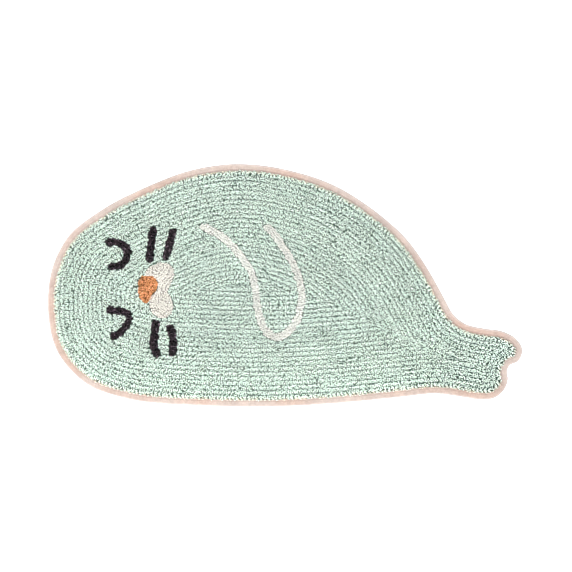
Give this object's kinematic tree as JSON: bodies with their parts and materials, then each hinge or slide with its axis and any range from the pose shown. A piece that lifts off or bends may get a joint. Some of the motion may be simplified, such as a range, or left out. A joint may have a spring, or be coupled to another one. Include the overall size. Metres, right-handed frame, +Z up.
{
  "type": "animal shaped kids rug",
  "caption": "Flat tufted rug in the outline of a lying seal, loop pile with a tape-bound edge, its face and flipper worked in yarns of other colours.",
  "frame": {"origin": "middle of the rug's box, on the plane of its underside", "axes": "+X from the head towards the tail flippers, +Y towards the animal's back, +Z up out of the pile"},
  "size_m": [1, 0.5116, 0.0114],
  "materials": {
    "mint_pile": "matt loop pile of pale mint cotton yarn",
    "peach_tape": "matt woven cotton tape, pale peach",
    "black_yarn": "matt loop pile of soft black cotton yarn",
    "white_yarn": "matt loop pile of off-white cotton yarn",
    "orange_yarn": "matt loop pile of soft orange cotton yarn",
    "canvas": "plain woven backing canvas, natural"
  },
  "bodies": {
    "root": {"mat": "mint_pile", "binding": "peach_tape", "eye_upper": "black_yarn", "eye_lower": "black_yarn", "whisker_upper_front": "black_yarn", "whisker_upper_rear": "black_yarn", "whisker_lower_front": "black_yarn", "whisker_lower_rear": "black_yarn", "muzzle": "white_yarn", "flipper_line": "white_yarn", "nose": "orange_yarn"}
  },
  "joints": []
}
